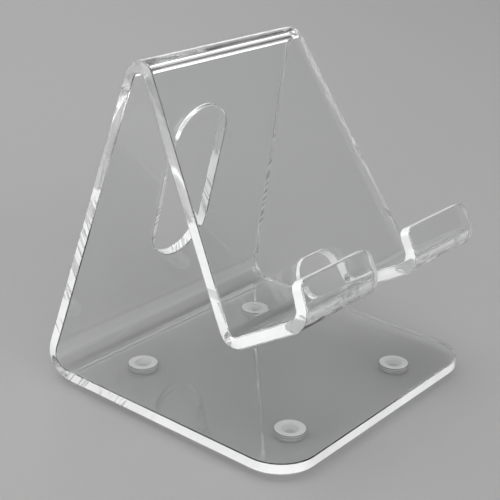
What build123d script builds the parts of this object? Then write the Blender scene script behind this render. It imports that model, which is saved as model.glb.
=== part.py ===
from build123d import *
from math import cos, radians, sin, tan
import os

# Phone stand: one clear acrylic sheet, folded four times, on four self-adhesive rubber bumpers.
# Millimetres. +Z is up, -Y is the front, where the phone leans, and X runs across the stand.
# The bumpers stand on z = 0, and the stand's bounding box is centred on X = 0 and Y = 0.

# Sheet. Lengths are measured on the sheet's middle plane, between the sharp fold lines.
sheet_thickness = 3.0
stand_width = 80.0
base_length = 78.8
back_panel_length = 89.0
front_panel_length = 71.4
shelf_length = 22.7
lip_length = 9.1

# Angles above the horizontal, looking along the folds from the rear fold towards the front.
back_panel_angle = 75.6
front_panel_angle = -59.2
shelf_angle = 29.9
lip_angle = 116.2

# Inside radius of each fold: rear, top, bottom and lip.
fold_radii = [4.2, 1.8, 2.0, 2.6]

# Outline of the sheet.
base_corner_radius = 10.3
lip_corner_radius = 2.3
side_taper_angle = 8.7
side_taper_start = 3.9          # above the base's middle plane

# Slot in the back panel, with round ends.
slot_length = 44.3
slot_width = 18.3
slot_centre = 45.1              # from the rear fold line, up the panel

# Cable notch: it parts the shelf and the lip into two prongs and ends in the front panel.
notch_width = 15.6
notch_height = 9.5              # from the bottom fold line, up the front panel
notch_corner_radius = 5.2
notch_reach_down = 9.0          # below the bottom fold line, so that the fold is parted too

# Bumpers: a rubber body with a dimple in its top, held by a ring of double-sided adhesive.
bumper_diameter = 7.8
bumper_height = 1.7
bumper_edge_radius = 0.9
bumper_groove_level = 0.75       # share of the bumper's height
bumper_groove_depth = 0.25
dimple_top_diameter = 4.6
dimple_floor_diameter = 2.4
dimple_depth = 0.8
adhesive_diameter = 8.0
adhesive_thickness = 0.3
bumper_spacing_x = 44.5
front_bumper_inset = 12.8       # from the base's front edge
rear_bumper_inset = 16.9        # from the rear fold line

clearance_past_part = 60.0      # how far the cutting tools reach beyond the sheet
cutter_overlap = 1.0            # how far one cutting tool reaches into the next
sheet_underside = bumper_height + adhesive_thickness
base_mid_height = sheet_underside + sheet_thickness / 2


def walk(start, angle, length):
    """Return the point reached from start, in the side view, where a rising angle leans forwards."""
    y, z = start
    return (y - length * cos(radians(angle)), z + length * sin(radians(angle)))


# Fold lines in the side view, as (y, z), with the rear fold line at y = 0.
rear_fold = (0.0, base_mid_height)
front_edge = walk(rear_fold, 0, base_length)
top_fold = walk(rear_fold, back_panel_angle, back_panel_length)
bottom_fold = walk(top_fold, front_panel_angle, front_panel_length)
lip_fold = walk(bottom_fold, shelf_angle, shelf_length)
lip_end = walk(lip_fold, lip_angle, lip_length)


def face_line(side):
    """Return one face of the sheet in the side view: side is 1 for the outside of the rear
    and top folds, and -1 for their inside."""
    # The base runs rearwards from its front edge, so its angle is a half turn.
    angles = [180, back_panel_angle, front_panel_angle, shelf_angle, lip_angle]
    step = side * sheet_thickness / 2
    corners = [walk(front_edge, angles[0] + 90, step)]
    for fold, before, after in zip(
        [rear_fold, top_fold, bottom_fold, lip_fold], angles[:-1], angles[1:]
    ):
        half_turn = (after - before) / 2
        corners.append(walk(fold, before + half_turn + 90, step / cos(radians(half_turn))))
    corners.append(walk(lip_end, angles[-1] + 90, step))
    turns = [after - before for before, after in zip(angles[:-1], angles[1:])]
    radii = [
        radius + (sheet_thickness if turn * side < 0 else 0)
        for radius, turn in zip(fold_radii, turns)
    ]
    return FilletPolyline(*corners, radius=radii)


def make_section():
    """Return the side view of the folded sheet as a face in the YZ plane."""
    outside = face_line(1)
    inside = face_line(-1)
    ends = [Line(outside @ 0, inside @ 0), Line(outside @ 1, inside @ 1)]
    return Plane.YZ * make_face(Curve() + [outside, inside] + ends)


def panel_plane(origin, angle):
    """Return a plane in a panel: its x runs across the stand and its y runs up the panel."""
    up_panel = Vector(0, -cos(radians(angle)), sin(radians(angle)))
    return Plane(
        origin=(0, *origin), x_dir=(1, 0, 0), z_dir=Vector(1, 0, 0).cross(up_panel)
    )


def taper_cutters():
    """Return the two wedges that narrow the stand towards its top."""
    half_width = stand_width / 2
    start = base_mid_height + side_taper_start
    top = start + clearance_past_part * 2
    inset = (top - start) * tan(radians(side_taper_angle))
    outside = half_width + clearance_past_part
    wedge = Polyline(
        (half_width, start), (half_width - inset, top), (outside, top), (outside, start), close=True
    )
    right = extrude(Plane.XZ * make_face(wedge), amount=clearance_past_part * 2, both=True)
    return [right, mirror(right, about=Plane.YZ)]


def slot_cutter():
    """Return the tool for the back panel's slot."""
    plane = panel_plane(rear_fold, back_panel_angle) * Pos(0, slot_centre)
    outline = plane * Rot(0, 0, 90) * SlotOverall(slot_length, slot_width)
    return extrude(outline, amount=sheet_thickness, both=True)


def notch_cutters():
    """Return the arched tool for the front panel and the straight one between the prongs."""
    plane = panel_plane(bottom_fold, front_panel_angle + 180)
    arch = Rectangle(
        notch_width, notch_height + notch_reach_down, align=(Align.CENTER, Align.MAX)
    )
    arch = fillet(arch.vertices().group_by(Axis.Y)[-1], notch_corner_radius)
    arch = extrude(plane * Pos(0, notch_height) * arch, amount=sheet_thickness, both=True)
    prong_gap = Box(
        notch_width, shelf_length * 2, shelf_length * 2,
        align=(Align.CENTER, Align.CENTER, Align.MIN),
    )
    gap_start = sheet_thickness - cutter_overlap
    return [arch, plane * Pos(0, 0, gap_start) * prong_gap]


def make_sheet():
    """Return the folded sheet, still with its rear fold line at y = 0."""
    sheet = extrude(make_section(), amount=stand_width / 2, both=True)
    sheet -= taper_cutters()
    sheet -= slot_cutter()
    sheet -= notch_cutters()
    front_corners = sheet.edges().filter_by(Axis.Z).group_by(Axis.Y)[0]
    sheet = fillet(front_corners, base_corner_radius)
    up_lip = Axis((0, 0, 0), (0, -cos(radians(lip_angle)), sin(radians(lip_angle))))
    lip_ends = sheet.faces().filter_by(up_lip)
    lip_corners = [
        edge for face in lip_ends for edge in face.edges() if edge.length < 2 * sheet_thickness
    ]
    return fillet(lip_corners, lip_corner_radius)


def make_bumper():
    """Return a bumper standing on z = 0: a rounded disc with a groove and a dimple in its top."""
    radius = bumper_diameter / 2
    groove_z = bumper_height * bumper_groove_level
    outline = Polyline(
        (0, 0), (radius, 0), (radius, groove_z - bumper_groove_depth),
        (radius - bumper_groove_depth, groove_z), (radius, groove_z + bumper_groove_depth),
        (radius, bumper_height), (dimple_top_diameter / 2, bumper_height),
        (dimple_floor_diameter / 2, bumper_height - dimple_depth),
        (0, bumper_height - dimple_depth), close=True,
    )
    bumper = revolve(Plane.XZ * make_face(outline), Axis.Z)
    return fillet(bumper.edges().group_by(Axis.Z)[0], bumper_edge_radius)


def make_adhesive():
    """Return a ring of adhesive lying on top of a bumper that stands on z = 0."""
    ring = Circle(adhesive_diameter / 2) - Circle(dimple_top_diameter / 2)
    return extrude(Pos(0, 0, bumper_height) * ring, amount=adhesive_thickness)


sheet = make_sheet()
bounds = sheet.bounding_box()
to_centre = -(bounds.min.Y + bounds.max.Y) / 2
front_bumper_y = to_centre - base_length + front_bumper_inset
rear_bumper_y = to_centre - rear_bumper_inset
bumper_places = {
    "front_left": (-bumper_spacing_x / 2, front_bumper_y),
    "front_right": (bumper_spacing_x / 2, front_bumper_y),
    "rear_left": (-bumper_spacing_x / 2, rear_bumper_y),
    "rear_right": (bumper_spacing_x / 2, rear_bumper_y),
}

nodes = {"folded_sheet": Pos(0, to_centre, 0) * sheet}
for place, (x, y) in bumper_places.items():
    nodes["bumper_" + place] = Pos(x, y, 0) * make_bumper()
    nodes["adhesive_" + place] = Pos(x, y, 0) * make_adhesive()

os.makedirs("parts", exist_ok=True)
for name, shape in nodes.items():
    export_step(shape, "parts/" + name + ".step")
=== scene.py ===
from collections import namedtuple
from math import cos, pi, radians, sin, tan

import bmesh
import bpy
from mathutils import Matrix, Vector


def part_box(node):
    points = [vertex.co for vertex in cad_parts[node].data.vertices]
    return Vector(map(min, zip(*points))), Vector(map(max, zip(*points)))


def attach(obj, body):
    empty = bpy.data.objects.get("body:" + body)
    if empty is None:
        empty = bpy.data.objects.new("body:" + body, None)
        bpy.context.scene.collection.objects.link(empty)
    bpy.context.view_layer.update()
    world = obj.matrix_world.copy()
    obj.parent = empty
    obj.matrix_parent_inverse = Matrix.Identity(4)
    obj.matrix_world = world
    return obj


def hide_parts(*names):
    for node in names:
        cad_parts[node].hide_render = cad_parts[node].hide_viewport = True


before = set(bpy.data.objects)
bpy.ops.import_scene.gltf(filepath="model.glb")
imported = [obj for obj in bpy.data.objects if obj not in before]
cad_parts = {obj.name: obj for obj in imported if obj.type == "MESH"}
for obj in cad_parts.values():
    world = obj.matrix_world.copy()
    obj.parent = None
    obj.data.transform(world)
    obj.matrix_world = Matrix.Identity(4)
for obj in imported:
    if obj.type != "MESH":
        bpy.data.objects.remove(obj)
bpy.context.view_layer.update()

MM = 0.001

# ---------------------------------------------------------------------------------------------
# Driving dimensions. Lengths run along the sheet's middle plane, between the sharp fold lines,
# and angles are above the horizontal, looking forwards along the walk from base to lip.
# ---------------------------------------------------------------------------------------------
sheet_thickness = 3.0 * MM
stand_width = 80.0 * MM
panel_lengths = [78.8 * MM, 89.0 * MM, 71.4 * MM, 22.7 * MM, 9.1 * MM]
panel_angles = [180.0, 75.6, -59.2, 29.9, 116.2]
fold_radii = [4.2 * MM, 1.8 * MM, 2.0 * MM, 2.6 * MM]      # inside: rear, top, bottom, lip

base_corner_radius = 10.3 * MM
lip_corner_radius = 2.3 * MM
side_taper_angle = 8.7
side_taper_start = 3.9 * MM          # above the base's middle plane

slot_length = 44.3 * MM
slot_width = 18.3 * MM
slot_centre = 45.1 * MM              # from the rear fold line, up the back panel

notch_width = 15.6 * MM
notch_height = 9.5 * MM              # from the bottom fold line, up the front panel
notch_corner_radius = 5.2 * MM

rim_radius = 0.3 * MM                # flame-polished edge between a face and a cut wall
rim_steps = 4
base_corner_steps = 24
lip_corner_steps = 10
notch_corner_steps = 16
slot_end_steps = 36
degrees_per_strip = 2.5              # each fold is made of flat strips this fine
fold_margin = 5.2 * MM               # past each end of a fold, cut in finer strips
margin_steps = 8
bulge_share = 0.16                   # of the fold's strain times the thickness, at each face
bulge_reach = 1.8 * MM               # past each end of a fold, along the sheet
haze_share = 0.6                     # of the lip's fold, from the shelf, hazed on its outside
grid_pitch = 4.0 * MM                # mesh cell on the panels
tiny = 1e-9                          # a length below this counts as nothing
cut_tolerance = 1e-7                 # how near to a cut a corner is taken to lie on it

# Patches of the edge that heating polished, one at each fold: rear, top, bottom and lip. Each is
# (shift of its middle along the sheet from the fold's middle, half its length).
heat_patches = [
    (-1.8 * MM, 3.9 * MM),
    (-1.8 * MM, 3.2 * MM),
    (-0.9 * MM, 1.3 * MM),
    (-1.8 * MM, 2.8 * MM),
]
heat_slant = 0.7 * MM                # how much further along each patch lies at the upper face
side_reach = (15 * MM, 20 * MM)      # how far out the marks on the outer edges start, and are full

bumper_height = 1.7 * MM
bumper_edge_radius = 0.9 * MM        # at the bumper's foot
groove_height = 0.75 * bumper_height
groove_depth = 0.25 * MM
groove_rounding = 0.1 * MM
top_rim_rounding = 0.06 * MM
dimple_depth = 0.8 * MM
dimple_top_radius = 2.3 * MM
dimple_floor_radius = 1.2 * MM
dimple_rounding = 0.3 * MM
film_rounding = 0.08 * MM
rounding_steps = 4
turned_segments = 72
optical_gap = 0.02 * MM              # keeps the film's top face clear of the sheet's face

floor_radius = 6.0
floor_segments = 96
floor_shade = 0.32
floor_roughness = 0.6

light_aim = (0, 0, 30 * MM)
top_light = {"place": (-0.2, 0.0, 1.2), "width": 0.9, "height": 0.9, "power": 5}
key_light = {"place": (-1.2, -1.9, 0.8), "width": 4.0, "height": 1.5, "power": 58}

room_level = 0.75
shade_direction = (0.85, -0.15, 0.5)
shade_fade = (0.76, 0.88)            # cosines, from the room's level to the shade's
shade_level = 0.12
wall_direction = (-0.17, 0.98, 0.0)
wall_fade = (0.26, 0.57)
wall_top = (0.24, 0.4)               # sines of the heights at which the wall fades out
wall_level = 1.9

camera_place = (-211.43 * MM, -168.52 * MM, 146.32 * MM)
camera_azimuth = -50.56
camera_elevation = 22.35
camera_roll = 1.32
camera_lens = 82.63
camera_sensor = 36.0
camera_near_limit = 10 * MM

most_bounces = 32
most_glossy_bounces = 16

sheet_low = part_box("folded_sheet")[0]


# ---------------------------------------------------------------------------------------------
# The folded sheet
# ---------------------------------------------------------------------------------------------
def nearness(away, reach):
    """Return a smooth weight for a distance: 1 when it is zero, and 0 from the reach on."""
    return cos(pi / 2 * min(away / reach, 1.0)) ** 2


Run = namedtuple("Run", "begin length point heading curvature")


class FoldedPath:
    """The sheet's middle line in the side view, made of straight runs and fold arcs.

    Each run begins at a distance along the flat sheet from the base's front edge, and at a point
    and with a heading in the YZ plane. A straight run's curvature is zero.
    """

    def __init__(self, start, lengths, angles, radii):
        self.runs = []
        self.panel_starts = []
        point = Vector(start)
        distance = 0.0
        trimmed_before = 0.0
        for index, length in enumerate(lengths):
            heading = pi - radians(angles[index])
            self.panel_starts.append(distance - trimmed_before)
            trimmed_after = 0.0
            if index < len(radii):
                turn = radians(angles[index] - angles[index + 1])
                middle_radius = radii[index] + sheet_thickness / 2
                trimmed_after = middle_radius * tan(abs(turn) / 2)
            straight = length - trimmed_before - trimmed_after
            self.runs.append(Run(distance, straight, point.copy(), heading, 0.0))
            point += straight * Vector((cos(heading), sin(heading)))
            distance += straight
            if index < len(radii):
                curvature = (1 if turn > 0 else -1) / middle_radius
                arc = middle_radius * abs(turn)
                self.runs.append(Run(distance, arc, point.copy(), heading, curvature))
                point = self.at(distance + arc)[0]
                distance += arc
            trimmed_before = trimmed_after
        self.length = distance

    def at(self, distance):
        """Return the point and the direction at a distance along the sheet."""
        run = self.runs[0]
        for candidate in self.runs:
            if distance >= candidate.begin - tiny:
                run = candidate
        step = distance - run.begin
        heading = run.heading
        if run.curvature == 0:
            return run.point + step * Vector((cos(heading), sin(heading))), heading
        end_heading = heading + step * run.curvature
        chord = Vector((sin(end_heading) - sin(heading), cos(heading) - cos(end_heading)))
        return run.point + chord / run.curvature, end_heading

    def strip_lines(self):
        """Return the distances at which the folds, and the sheet past them, are cut in strips."""
        past = [fold_margin * (step + 1) / margin_steps for step in range(margin_steps)]
        lines = []
        for arc in self.arcs():
            steps = round(abs(arc.length * arc.curvature) / radians(degrees_per_strip))
            lines += [arc.begin - gap for gap in reversed(past)]
            lines += [arc.begin + arc.length * step / steps for step in range(steps + 1)]
            lines += [arc.begin + arc.length + gap for gap in past]
        return lines

    def panel_lines(self):
        """Return evenly spaced distances on the panels, between the folds."""
        lines = []
        for run in self.runs:
            if not run.curvature:
                steps = max(1, round(run.length / grid_pitch))
                lines += [run.begin + run.length * step / steps for step in range(1, steps)]
        return lines

    def arcs(self):
        """Return the runs that are folds."""
        return [run for run in self.runs if run.curvature]

    def bulge(self, distance, height):
        """Return how far a cut edge stands out: bending squeezes the inside of a fold sideways."""
        bend = 0.0
        for arc in self.arcs():
            away = abs(distance - arc.begin - arc.length / 2)
            bend += arc.curvature * nearness(away, arc.length / 2 + bulge_reach)
        return bulge_share * sheet_thickness * height * bend

    def heat(self, distance, level):
        """Return the nearness to a polished patch: 1 at its middle and 0.5 at its ends."""
        heats = []
        for arc, (shift, reach) in zip(self.arcs(), heat_patches):
            away = abs(distance - arc.begin - arc.length / 2 - shift - heat_slant * level)
            heats.append(nearness(away, 2 * reach))
        return max(heats)


path = FoldedPath(
    (sheet_low.y, sheet_low.z + sheet_thickness / 2), panel_lengths, panel_angles, fold_radii
)


def half_width(z):
    """Return half the stand's width at a height: the sides lean in above the taper's start."""
    above = z - (sheet_low.z + sheet_thickness / 2 + side_taper_start)
    return stand_width / 2 - max(0.0, above) * tan(radians(side_taper_angle))


def arc_points(centre, radius, begin, end, steps):
    """Return points along an arc, from one angle to another, in degrees."""
    points = []
    for step in range(steps + 1):
        angle = radians(begin + (end - begin) * step / steps)
        points.append((centre[0] + radius * cos(angle), centre[1] + radius * sin(angle)))
    return points


def half_outline():
    """Return the right half of the flat sheet's outline, as (x, distance), from front to lip."""
    corner = (stand_width / 2 - base_corner_radius, base_corner_radius)
    points = arc_points(corner, base_corner_radius, -90, 0, base_corner_steps)
    for line in path.strip_lines():
        if line < path.length - lip_corner_radius:
            points.append((half_width(path.at(line)[0].y), line))
    # The lip's outer corner, then its inner corner beside the cable notch.
    end = path.length
    edge = half_width(path.at(end - lip_corner_radius)[0].y)
    inner = notch_width / 2
    corner = (edge - lip_corner_radius, end - lip_corner_radius)
    points += arc_points(corner, lip_corner_radius, 0, 90, lip_corner_steps)
    corner = (inner + lip_corner_radius, end - lip_corner_radius)
    points += arc_points(corner, lip_corner_radius, 90, 180, lip_corner_steps)
    # Down the prong, through its folds, and round the arch in the front panel.
    arch_top = path.panel_starts[3] - notch_height
    for line in reversed(path.strip_lines()):
        if arch_top + notch_corner_radius < line < end - lip_corner_radius:
            points.append((inner, line))
    corner = (inner - notch_corner_radius, arch_top + notch_corner_radius)
    points += arc_points(corner, notch_corner_radius, 0, -90, notch_corner_steps)
    return points


def sheet_outline():
    """Return the closed outline of the flat sheet."""
    right = half_outline()
    left = [(-x, distance) for x, distance in reversed(right)]
    return right + left


def slot_outline():
    """Return the closed outline of the slot, clockwise, so that the sheet lies on its left."""
    middle = path.panel_starts[1] + slot_centre
    radius = slot_width / 2
    reach = slot_length / 2 - radius
    far_end = arc_points((0, middle + reach), radius, 180, 0, slot_end_steps)
    near_end = arc_points((0, middle - reach), radius, 0, -180, slot_end_steps)
    return far_end + near_end


def running_lengths(loop):
    """Return the distance round a closed loop at each of its points, and at its end."""
    marks = [0.0]
    for point, after in zip(loop, loop[1:] + loop[:1]):
        marks.append(marks[-1] + (Vector(after) - Vector(point)).length)
    return marks


def inset_loop(loop, inset, height):
    """Return a closed loop moved towards its left, less its bulge at a height in the sheet."""
    moved = []
    count = len(loop)
    for index, point in enumerate(loop):
        amount = inset - path.bulge(point[1], height)
        before = Vector(point) - Vector(loop[index - 1])
        after = Vector(loop[(index + 1) % count]) - Vector(point)
        left_before = Vector((-before.y, before.x)).normalized()
        left_after = Vector((-after.y, after.x)).normalized()
        middle = (left_before + left_after).normalized()
        moved.append(Vector(point) + middle * (amount / middle.dot(left_after)))
    return moved


def rim_profile():
    """Return the cut edge's section as (inset, height): a flat wall between two rounded rims."""
    top = []
    for step in range(rim_steps + 1):
        angle = pi / 2 * step / rim_steps
        drop = rim_radius * (1 - cos(angle))
        top.append((rim_radius * (1 - sin(angle)), sheet_thickness / 2 - drop))
    return top + [(inset, -height) for inset, height in reversed(top)]


# Material slots of the sheet: its flat panels, its folds, the hazed outside of the lip's fold,
# and the cut edge's rims and wall.
PANEL, FOLD, HAZE, CUT_RIM, CUT_WALL = range(5)

# One UV map holds the distance round the cut edge, and the height through the sheet. The other
# holds the nearness to a polished patch, and the height from -1 to 1.
edge_map_name = "cut_edge"
heat_map_name = "fold_heat"

# The turned pieces' UV map holds the radius and the height of each point of their section.
section_map_name = "section"


def build_flat_sheet():
    """Return the unfolded sheet as a closed bmesh: x across, y along, z through the sheet."""
    mesh = bmesh.new()
    edge_map = mesh.loops.layers.uv.new(edge_map_name)
    heat_map = mesh.loops.layers.uv.new(heat_map_name)
    caps = ([], [])
    for loop in (sheet_outline(), slot_outline()):
        marks = running_lengths(loop)
        rings = []
        for inset, height in rim_profile():
            ring = [mesh.verts.new((p.x, p.y, height)) for p in inset_loop(loop, inset, height)]
            rings.append(ring)
        for level, (upper, lower) in enumerate(zip(rings, rings[1:])):
            for index in range(len(upper)):
                after = (index + 1) % len(upper)
                face = mesh.faces.new((upper[index], lower[index], lower[after], upper[after]))
                face.material_index = CUT_WALL if level == rim_steps else CUT_RIM
                for corner, mark in zip(face.loops, (index, index, index + 1, index + 1)):
                    vert = corner.vert.co
                    rise = vert.z / (sheet_thickness / 2)
                    corner[edge_map].uv = (marks[mark], vert.z)
                    corner[heat_map].uv = (path.heat(vert.y, rise), rise)
        for cap, ring in ((caps[0], rings[0]), (caps[1], rings[-1])):
            for index, vert in enumerate(ring):
                cap.append(mesh.edges.get((vert, ring[(index + 1) % len(ring)])))
    for edges in caps:
        bmesh.ops.triangle_fill(mesh, edges=edges, use_beauty=False)
    bmesh.ops.recalc_face_normals(mesh, faces=mesh.faces)
    return mesh


def cut_into_cells(mesh):
    """Cut the flat sheet along its fold strips and a grid, and drop the fill's slanted edges."""
    columns = round(stand_width / grid_pitch)
    across = [stand_width * (step / columns - 0.5) for step in range(1, columns)]
    along = path.strip_lines() + path.panel_lines()
    cuts = [((x, 0, 0), (1, 0, 0)) for x in across] + [((0, s, 0), (0, 1, 0)) for s in along]
    for point, normal in cuts:
        everything = mesh.verts[:] + mesh.edges[:] + mesh.faces[:]
        bmesh.ops.bisect_plane(
            mesh, geom=everything, plane_co=point, plane_no=normal, dist=cut_tolerance
        )
    slanted = []
    for edge in mesh.edges:
        on_cap = all(face.material_index == PANEL for face in edge.link_faces)
        span = edge.verts[0].co - edge.verts[1].co
        if on_cap and min(abs(span.x), abs(span.y)) > cut_tolerance:
            slanted.append(edge)
    bmesh.ops.dissolve_edges(mesh, edges=slanted, use_verts=False)


def mark_folds(mesh):
    """Give the faces between the folds' first and last strips their own materials."""
    arcs = path.arcs()
    haze_start = arcs[-1].begin
    haze_end = haze_start + arcs[-1].length * haze_share
    for face in mesh.faces:
        middle = face.calc_center_median()
        in_fold = any(arc.begin < middle.y < arc.begin + arc.length for arc in arcs)
        if face.material_index == PANEL and in_fold:
            hazed = middle.z < 0 and haze_start < middle.y < haze_end
            face.material_index = HAZE if hazed else FOLD


def fold(mesh):
    """Fold the flat sheet along the path, and lean its sides in."""
    for vert in mesh.verts:
        x, distance, height = vert.co
        point, heading = path.at(distance)
        folded = point + height * Vector((-sin(heading), cos(heading)))
        lean = half_width(folded.y) / half_width(point.y)
        vert.co = (x * lean, folded.x, folded.y)


def new_piece(name, mesh, materials):
    """Make a piece from a bmesh, smooth it, and put it on the part's only body."""
    data = bpy.data.meshes.new(name)
    mesh.to_mesh(data)
    mesh.free()
    for material in materials:
        data.materials.append(material)
    for polygon in data.polygons:
        polygon.use_smooth = True
    piece = bpy.data.objects.new(name, data)
    bpy.context.scene.collection.objects.link(piece)
    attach(piece, "root")
    return piece


def build_sheet(materials):
    """Build the whole folded sheet as one piece."""
    mesh = build_flat_sheet()
    cut_into_cells(mesh)
    mark_folds(mesh)
    fold(mesh)
    piece = new_piece("clear_sheet", mesh, materials)
    weights = piece.modifiers.new("even_normals", "WEIGHTED_NORMAL")
    weights.mode = "FACE_AREA"
    weights.keep_sharp = True
    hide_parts("folded_sheet")


# ---------------------------------------------------------------------------------------------
# Materials
# ---------------------------------------------------------------------------------------------
def new_material(name):
    """Return a new node material and its Principled shader."""
    material = bpy.data.materials.new(name)
    material.use_nodes = True
    return material, material.node_tree.nodes["Principled BSDF"]


def add_noise(material, vector, scale, detail=2.0, stretch=(1, 1, 1), turn=0.0):
    """Add noise over a coordinate, stretched along axes turned in its plane; return its socket."""
    nodes = material.node_tree.nodes
    mapping = nodes.new("ShaderNodeMapping")
    mapping.vector_type = "TEXTURE"
    mapping.inputs["Scale"].default_value = stretch
    mapping.inputs["Rotation"].default_value = (0, 0, radians(turn))
    noise = nodes.new("ShaderNodeTexNoise")
    noise.inputs["Scale"].default_value = scale
    noise.inputs["Detail"].default_value = detail
    material.node_tree.links.new(vector, mapping.inputs["Vector"])
    material.node_tree.links.new(mapping.outputs["Vector"], noise.inputs["Vector"])
    return noise.outputs["Fac"]


def add_range(material, value, from_range, to_range, socket=None):
    """Map a value from one range to another, link it to a socket if given, and return it."""
    scaled = material.node_tree.nodes.new("ShaderNodeMapRange")
    scaled.inputs["From Min"].default_value = from_range[0]
    scaled.inputs["From Max"].default_value = from_range[1]
    scaled.inputs["To Min"].default_value = to_range[0]
    scaled.inputs["To Max"].default_value = to_range[1]
    material.node_tree.links.new(value, scaled.inputs["Value"])
    if socket:
        material.node_tree.links.new(scaled.outputs["Result"], socket)
    return scaled.outputs["Result"]


def add_maths(material, operation, first, *others):
    """Combine a value socket with others, which may be numbers, and return the result's socket."""
    result = first
    for other in others:
        maths = material.node_tree.nodes.new("ShaderNodeMath")
        maths.operation = operation
        material.node_tree.links.new(result, maths.inputs[0])
        if isinstance(other, float):
            maths.inputs[1].default_value = other
        else:
            material.node_tree.links.new(other, maths.inputs[1])
        result = maths.outputs["Value"]
    return result


def add_distance(material, value, centre):
    """Return the socket of how far a value is from a number."""
    maths = material.node_tree.nodes.new("ShaderNodeMath")
    maths.operation = "ABSOLUTE"
    offset = add_maths(material, "SUBTRACT", value, centre)
    material.node_tree.links.new(offset, maths.inputs[0])
    return maths.outputs["Value"]


def add_parts(material, vector):
    """Return the three value sockets of a vector socket."""
    parts = material.node_tree.nodes.new("ShaderNodeSeparateXYZ")
    material.node_tree.links.new(vector, parts.inputs["Vector"])
    return parts.outputs["X"], parts.outputs["Y"], parts.outputs["Z"]


def add_bump(material, height, depth, shader):
    """Bump a shader by a height, whose full range stands for a depth in metres."""
    bump = material.node_tree.nodes.new("ShaderNodeBump")
    bump.inputs["Strength"].default_value = 1.0
    bump.inputs["Distance"].default_value = depth
    material.node_tree.links.new(height, bump.inputs["Height"])
    material.node_tree.links.new(bump.outputs["Normal"], shader.inputs["Normal"])


def add_greys(material, value, dark, light, shader):
    """Colour a shader from a dark to a light colour as a value goes from 0 to 1."""
    ramp = material.node_tree.nodes.new("ShaderNodeValToRGB")
    ramp.color_ramp.elements[0].color = dark
    ramp.color_ramp.elements[1].color = light
    material.node_tree.links.new(value, ramp.inputs["Fac"])
    material.node_tree.links.new(ramp.outputs["Color"], shader.inputs["Base Color"])


def object_position(material):
    """Return the socket that gives a point's place in the stand's own frame."""
    return material.node_tree.nodes.new("ShaderNodeTexCoord").outputs["Object"]


def object_facing(material):
    """Return the three sockets of the direction that the surface faces."""
    return add_parts(material, material.node_tree.nodes.new("ShaderNodeTexCoord").outputs["Normal"])


def map_position(material, name):
    """Return the socket that gives a point's place in one of the UV maps."""
    node = material.node_tree.nodes.new("ShaderNodeUVMap")
    node.uv_map = name
    return node.outputs["UV"]


def new_acrylic(name):
    """Return a clear acrylic material and its shader."""
    material, shader = new_material(name)
    shader.inputs["Base Color"].default_value = (0.985, 0.99, 0.99, 1)
    shader.inputs["Transmission Weight"].default_value = 1.0
    shader.inputs["IOR"].default_value = 1.49
    shader.inputs["Roughness"].default_value = 0.0
    return material, shader


def make_panel_acrylic():
    """Return the polished panels' acrylic, with the faint smears that handling leaves."""
    material, shader = new_acrylic("acrylic_panel")
    place = object_position(material)
    smears = add_noise(material, place, scale=60, detail=3.0, stretch=(1, 1, 2.5))
    add_range(material, smears, (0.45, 0.75), (0.0, 0.03), shader.inputs["Roughness"])
    return material


def make_fold_acrylic():
    """Return the folds' acrylic: heating leaves faint draw lines along each fold."""
    material, shader = new_acrylic("acrylic_fold")
    place = object_position(material)
    lines = add_noise(material, place, scale=900, detail=2.0, stretch=(50, 1, 1))
    add_bump(material, lines, 0.004 * MM, shader)
    add_range(material, lines, (0.5, 0.8), (0.0, 0.04), shader.inputs["Roughness"])
    return material


def make_haze_acrylic():
    """Return the acrylic outside the lip's fold, hazed in patches where it met the former.

    The haze fades out where the surface turns up towards the lip's face.
    """
    material, shader = new_acrylic("acrylic_haze")
    facing_up = object_facing(material)[2]
    down = add_range(material, facing_up, (-0.15, -0.4), (0, 1))
    place = object_position(material)
    patches = add_noise(material, place, scale=600, detail=4.0, stretch=(3, 1, 1))
    patches = add_range(material, patches, (0.34, 0.46), (0.3, 1))
    haze = add_maths(material, "MULTIPLY", down, patches)
    add_range(material, haze, (0, 1), (1.0, 0.12), shader.inputs["Transmission Weight"])
    add_range(material, haze, (0, 1), (0.0, 0.25), shader.inputs["Roughness"])
    add_bump(material, patches, 0.01 * MM, shader)
    return material


def make_rim_acrylic():
    """Return the rounded rims' acrylic, with small nicks."""
    material, shader = new_acrylic("acrylic_rim")
    place = map_position(material, edge_map_name)
    nicks = add_noise(material, place, scale=1400, detail=2.0)
    add_bump(material, nicks, 0.02 * MM, shader)
    add_range(material, nicks, (0.5, 0.7), (0.0, 0.15), shader.inputs["Roughness"])
    return material


def heat_patches_mask(material, wander):
    """Return a mask of the polished patches at the folds, each with bowed and wandering ends."""
    bow_depth = 0.35
    patch_edge = (0.5, 0.56)

    heat, level, _ = add_parts(material, map_position(material, heat_map_name))
    bow = add_maths(material, "POWER", add_distance(material, level, 0.0), 2.0)
    bow = add_maths(material, "MULTIPLY", bow, bow_depth)
    heat = add_maths(material, "SUBTRACT", heat, bow)
    return add_range(material, add_maths(material, "ADD", heat, wander), patch_edge, (0, 1))


def high_edges_mask(material, height, wander):
    """Return a mask of the edges high up, which are half polished."""
    heights = (44 * MM, 60 * MM)
    polished_edge = (0.0, 0.1)
    strength = 0.8

    high = add_range(material, height, heights, (-0.5, 0.5))
    high = add_maths(material, "ADD", high, wander)
    return add_range(material, high, polished_edge, (0, strength))


def saw_marks_mask(material, place, depth):
    """Return a mask of the groups of slanted saw marks, which are mostly at the rear."""
    slant = -38                          # degrees from the sheet's normal
    group_edge = (0.44, 0.5)
    mark_edge = (0.48, 0.58)
    rear_depths = (0, 14 * MM)
    strengths = (0.04, 0.7)              # in front of those depths, and behind them

    group = add_noise(material, place, scale=110, detail=0.0, stretch=(1, 40, 1))
    group = add_range(material, group, group_edge, (0, 1))
    marks = add_noise(material, place, scale=1000, detail=1.0, stretch=(1, 14, 1), turn=slant)
    marks = add_range(material, marks, mark_edge, (0, 1))
    rear = add_range(material, depth, rear_depths, strengths)
    return add_maths(material, "MULTIPLY", marks, group, rear)


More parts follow.
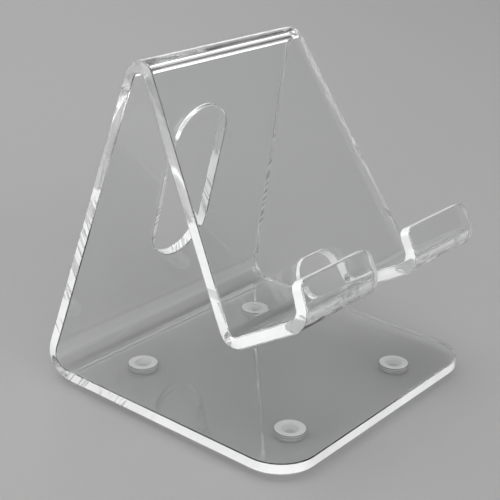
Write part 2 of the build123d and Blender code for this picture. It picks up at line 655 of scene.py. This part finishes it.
def right_edges_mask(material, place, across):
    """Return a mask of the right-hand edges, which are clear between fine cracks."""
    facing = (0.3, 0.6)
    crack_edge = (0.015, 0.03)

    facing_right = add_range(material, object_facing(material)[0], facing, (0, 1))
    side = add_range(material, across, side_reach, (0, 1))
    cracks = add_noise(material, place, scale=450, detail=3.0)
    between = add_range(material, add_distance(material, cracks, 0.5), crack_edge, (0, 1))
    return add_maths(material, "MULTIPLY", facing_right, side, between)


def front_patches_mask(material, across, depth, height):
    """Return a mask of two clear patches low on the front panel's edges.

    One is a bar across the edge. The other is a wedge under it, along the panel's front face.
    """
    panel_depth = -13 * MM
    panel_reach = (5.5 * MM, 6.5 * MM)
    bar_height = 38.8 * MM
    bar_reach = (0.8 * MM, 1.1 * MM)
    bar_strength = 0.5
    wedge_heights = (30.5 * MM, 37.5 * MM)
    wedge_top = (37.2 * MM, 37.5 * MM)
    wedge_share = 0.7                    # of half the sheet's thickness, at the wedge's top
    wedge_side = (0.95, 1.05)
    wedge_strength = 0.7

    side = add_range(material, add_distance(material, across, 0.0), side_reach, (0, 1))
    panel = add_range(material, add_distance(material, depth, panel_depth), panel_reach, (1, 0))
    bar = add_distance(material, height, bar_height)
    bar = add_range(material, bar, bar_reach, (bar_strength, 0))
    level = add_parts(material, map_position(material, heat_map_name))[1]
    wedge = add_range(material, height, wedge_heights, (0, wedge_share))
    wedge = add_maths(material, "SUBTRACT", wedge, level)
    wedge = add_range(material, wedge, wedge_side, (0, wedge_strength))
    below = add_range(material, height, wedge_top, (1, 0))
    wedge = add_maths(material, "MULTIPLY", wedge, below)
    patches = add_maths(material, "MAXIMUM", bar, wedge)
    return add_maths(material, "MULTIPLY", patches, side, panel)


def make_cut_acrylic():
    """Return the cut wall's acrylic: matt white from the saw, and clear in patches."""
    transmission = (0.35, 0.93)          # where matt, and where clear
    roughness = (0.22, 0.04)

    material, shader = new_acrylic("acrylic_cut")
    place = map_position(material, edge_map_name)
    across, depth, height = add_parts(material, object_position(material))
    wander = add_noise(material, place, scale=260, detail=2.0)
    wander = add_range(material, wander, (0.3, 0.7), (-0.15, 0.15))
    marks = saw_marks_mask(material, place, depth)
    clear = add_maths(
        material,
        "MAXIMUM",
        heat_patches_mask(material, wander),
        high_edges_mask(material, height, wander),
        marks,
        right_edges_mask(material, place, across),
        front_patches_mask(material, across, depth, height),
    )
    add_range(material, clear, (0, 1), transmission, shader.inputs["Transmission Weight"])
    add_range(material, clear, (0, 1), roughness, shader.inputs["Roughness"])
    add_bump(material, marks, 0.02 * MM, shader)
    return material


def make_rubber():
    """Return the bumpers' milky rubber: pale on top, with painted shade lower down on its outside
    and in the groove, where shade falls.

    The dimple's funnel has painted shade, a little darker than the top, and its floor a little
    more. Each pair of radii or heights runs from where a change starts to where it is full.
    """
    side_radii = (3.0 * MM, 3.3 * MM)
    body_heights = (1.3 * MM, 1.5 * MM)
    groove_reach = (0.1 * MM, 0.25 * MM)
    funnel_radii = (2.4 * MM, 1.9 * MM)
    floor_radii = (1.4 * MM, 0.9 * MM)

    material, shader = new_material("bumper_rubber")
    shader.inputs["Roughness"].default_value = 0.35
    grain = add_noise(material, object_position(material), scale=1500, detail=3.0)
    add_bump(material, grain, 0.01 * MM, shader)
    radius, height, _ = add_parts(material, map_position(material, section_map_name))
    # Painted shade: the outside is darker below the groove's top, and darker still in the groove.
    body = add_range(material, height, body_heights, (0.75, 0))
    groove = add_distance(material, height, groove_height)
    groove = add_range(material, groove, groove_reach, (0.9, 0))
    side = add_range(material, radius, side_radii, (0, 1))
    painted_side_shade = add_maths(material, "MULTIPLY", add_maths(material, "MAXIMUM", body, groove), side)
    # Painted shade in the dimple: its funnel a little darker than the top, and its floor darker
    # still.
    painted_funnel_shade = add_range(material, radius, funnel_radii, (0, 0.25))
    painted_floor_shade = add_range(material, radius, floor_radii, (0, 0.3))
    grain = add_range(material, grain, (0, 1), (0.9, 1))
    shade = add_maths(material, "SUBTRACT", grain, painted_side_shade, painted_funnel_shade, painted_floor_shade)
    add_greys(material, shade, (0.18, 0.18, 0.18, 1), (0.85, 0.86, 0.86, 1), shader)
    return material


def make_adhesive_film():
    """Return the adhesive's pale film, mottled, with a thin painted contact shadow round its outer
    edge.
    """
    edge_shadow_radii = (3.75 * MM, 3.9 * MM)

    material, shader = new_material("adhesive_film")
    shader.inputs["Roughness"].default_value = 0.5
    mottle = add_noise(material, object_position(material), scale=700, detail=3.0)
    mottle = add_range(material, mottle, (0, 1), (0.85, 1.0))
    radius = add_parts(material, map_position(material, section_map_name))[0]
    # Painted contact shadow: a thin dark line round the film's outer edge.
    painted_edge_shadow = add_range(material, radius, edge_shadow_radii, (0, 0.85))
    shade = add_maths(material, "SUBTRACT", mottle, painted_edge_shadow)
    add_greys(material, shade, (0.12, 0.12, 0.12, 1), (0.93, 0.93, 0.93, 1), shader)
    return material


# ---------------------------------------------------------------------------------------------
# Bumpers and their adhesive rings
# ---------------------------------------------------------------------------------------------
def rounded(corners):
    """Return a section line through (radius, height, rounding) corners, with rounded turns."""
    line = []
    for index, (x, z, rounding) in enumerate(corners):
        corner = Vector((x, z))
        if rounding == 0:
            line.append(corner)
            continue
        before = (Vector(corners[index - 1][:2]) - corner).normalized() * rounding
        after = (Vector(corners[(index + 1) % len(corners)][:2]) - corner).normalized() * rounding
        for step in range(rounding_steps + 1):
            share = step / rounding_steps
            line.append(corner + before * (1 - share) ** 2 + after * share ** 2)
    return line


def lathe(line, centre, closed):
    """Return a bmesh made by turning a section line about a vertical axis."""
    mesh = bmesh.new()
    section_map = mesh.loops.layers.uv.new(section_map_name)
    rings = []
    for point in line:
        if point.x < tiny:
            rings.append([mesh.verts.new((centre.x, centre.y, point.y))])
            continue
        ring = []
        for step in range(turned_segments):
            angle = 2 * pi * step / turned_segments
            place = (centre.x + point.x * cos(angle), centre.y + point.x * sin(angle), point.y)
            ring.append(mesh.verts.new(place))
        rings.append(ring)
    pairs = list(zip(rings, rings[1:]))
    if closed:
        pairs.append((rings[-1], rings[0]))
    for lower, upper in pairs:
        for step in range(turned_segments):
            after = (step + 1) % turned_segments
            corners = [lower[step % len(lower)], lower[after % len(lower)]]
            corners += [upper[after % len(upper)], upper[step % len(upper)]]
            face = mesh.faces.new(list(dict.fromkeys(corners)))
            for corner in face.loops:
                offset = corner.vert.co - centre
                corner[section_map].uv = (offset.xy.length, corner.vert.co.z)
    bmesh.ops.recalc_face_normals(mesh, faces=mesh.faces)
    return mesh


def build_bumper(place, material):
    """Build one bumper: a rounded rubber disc with a groove round it and a dimple in its top."""
    node = "bumper_" + place
    low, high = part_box(node)
    radius = (high.x - low.x) / 2
    groove = low.z + groove_height
    floor = high.z - dimple_depth
    line = rounded([
        (0, low.z, 0),
        (radius, low.z, bumper_edge_radius),
        (radius, groove - groove_depth, groove_rounding),
        (radius - groove_depth, groove, groove_rounding),
        (radius, groove + groove_depth, top_rim_rounding),
        (radius, high.z, top_rim_rounding),
        (dimple_top_radius, high.z, dimple_rounding),
        (dimple_floor_radius, floor, dimple_rounding),
        (0, floor, 0),
    ])
    mesh = lathe(line, (low + high) / 2, False)
    piece = new_piece(node + "_rubber", mesh, [material])
    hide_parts(node)


def build_adhesive(place, material):
    """Build one ring of adhesive film."""
    node = "adhesive_" + place
    low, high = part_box(node)
    high.z -= optical_gap
    radius = (high.x - low.x) / 2
    line = rounded([
        (radius, low.z, film_rounding),
        (radius, high.z, film_rounding),
        (dimple_top_radius, high.z, film_rounding),
        (dimple_top_radius, low.z, film_rounding),
    ])
    mesh = lathe(line, (low + high) / 2, True)
    piece = new_piece(node + "_film", mesh, [material])
    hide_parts(node)


# ---------------------------------------------------------------------------------------------
# Stage, lights and camera
# ---------------------------------------------------------------------------------------------
def make_floor():
    """Make the pale floor."""
    mesh = bmesh.new()
    bmesh.ops.create_circle(mesh, cap_ends=True, segments=floor_segments, radius=floor_radius)
    data = bpy.data.meshes.new("floor")
    mesh.to_mesh(data)
    mesh.free()
    floor = bpy.data.objects.new("floor", data)
    bpy.context.scene.collection.objects.link(floor)
    material, shader = new_material("floor")
    shader.inputs["Base Color"].default_value = (floor_shade, floor_shade, floor_shade, 1)
    shader.inputs["Roughness"].default_value = floor_roughness
    data.materials.append(material)


def make_world():
    """Light the scene with an even room, shaded on the right, and a bright low wall behind."""
    world = bpy.data.worlds.new("studio")
    bpy.context.scene.world = world
    world.use_nodes = True
    nodes = world.node_tree.nodes
    links = world.node_tree.links
    direction = nodes.new("ShaderNodeTexCoord").outputs["Generated"]

    def facing(towards):
        product = nodes.new("ShaderNodeVectorMath")
        product.operation = "DOT_PRODUCT"
        product.inputs[1].default_value = towards
        links.new(direction, product.inputs[0])
        return product.outputs["Value"]

    def blend(value, fade, levels):
        ramp = nodes.new("ShaderNodeMapRange")
        ramp.interpolation_type = "SMOOTHSTEP"
        ramp.inputs["From Min"].default_value = fade[0]
        ramp.inputs["From Max"].default_value = fade[1]
        ramp.inputs["To Min"].default_value = levels[0]
        ramp.inputs["To Max"].default_value = levels[1]
        links.new(value, ramp.inputs["Value"])
        return ramp.outputs["Result"]

    def combine(operation, first, second):
        maths = nodes.new("ShaderNodeMath")
        maths.operation = operation
        links.new(first, maths.inputs[0])
        links.new(second, maths.inputs[1])
        return maths.outputs["Value"]

    room = blend(facing(shade_direction), shade_fade, (room_level, shade_level))
    wall_side = blend(facing(wall_direction), wall_fade, (0.0, wall_level))
    wall_height = blend(facing((0, 0, 1)), wall_top, (1.0, 0.0))
    strength = combine("MAXIMUM", room, combine("MULTIPLY", wall_side, wall_height))
    nodes["Background"].inputs["Color"].default_value = (1, 1, 1, 1)
    links.new(strength, nodes["Background"].inputs["Strength"])


def make_softbox(name, place, width, height, power):
    """Make a rectangular area light at a place, aimed at the stand."""
    light = bpy.data.lights.new(name, "AREA")
    light.shape = "RECTANGLE"
    light.size = width
    light.size_y = height
    light.energy = power
    lamp = bpy.data.objects.new(name, light)
    lamp.location = place
    lamp.visible_camera = False
    lamp.rotation_mode = "QUATERNION"
    lamp.rotation_quaternion = (Vector(light_aim) - Vector(place)).to_track_quat("-Z", "Y")
    bpy.context.scene.collection.objects.link(lamp)


def make_camera():
    """Make the camera at its azimuth, elevation and roll."""
    azimuth, elevation, roll = map(radians, (camera_azimuth, camera_elevation, camera_roll))
    back = Vector((
        sin(azimuth) * cos(elevation), -cos(azimuth) * cos(elevation), sin(elevation)
    ))
    level_right = Vector((0, 0, 1)).cross(back).normalized()
    level_up = back.cross(level_right)
    right = cos(roll) * level_right + sin(roll) * level_up
    up = back.cross(right)
    data = bpy.data.cameras.new("camera")
    data.lens = camera_lens
    data.sensor_width = camera_sensor
    data.clip_start = camera_near_limit
    camera = bpy.data.objects.new("camera", data)
    turn = Matrix((right, up, back)).transposed().to_4x4()
    camera.matrix_world = Matrix.Translation(camera_place) @ turn
    bpy.context.scene.collection.objects.link(camera)
    bpy.context.scene.camera = camera


def set_light_paths():
    """Give rays enough bounces to leave the clear sheet."""
    cycles = bpy.context.scene.cycles
    cycles.max_bounces = most_bounces
    cycles.transmission_bounces = most_bounces
    cycles.glossy_bounces = most_glossy_bounces
    cycles.use_denoising = True
    cycles.denoiser = "OPENIMAGEDENOISE"
    bpy.context.scene.view_settings.view_transform = "Standard"


build_sheet([
    make_panel_acrylic(),
    make_fold_acrylic(),
    make_haze_acrylic(),
    make_rim_acrylic(),
    make_cut_acrylic(),
])

rubber = make_rubber()
adhesive_film = make_adhesive_film()
for place in ("front_left", "front_right", "rear_left", "rear_right"):
    build_bumper(place, rubber)
    build_adhesive(place, adhesive_film)

make_floor()
make_world()
make_softbox("top", **top_light)
make_softbox("key", **key_light)
make_camera()
set_light_paths()
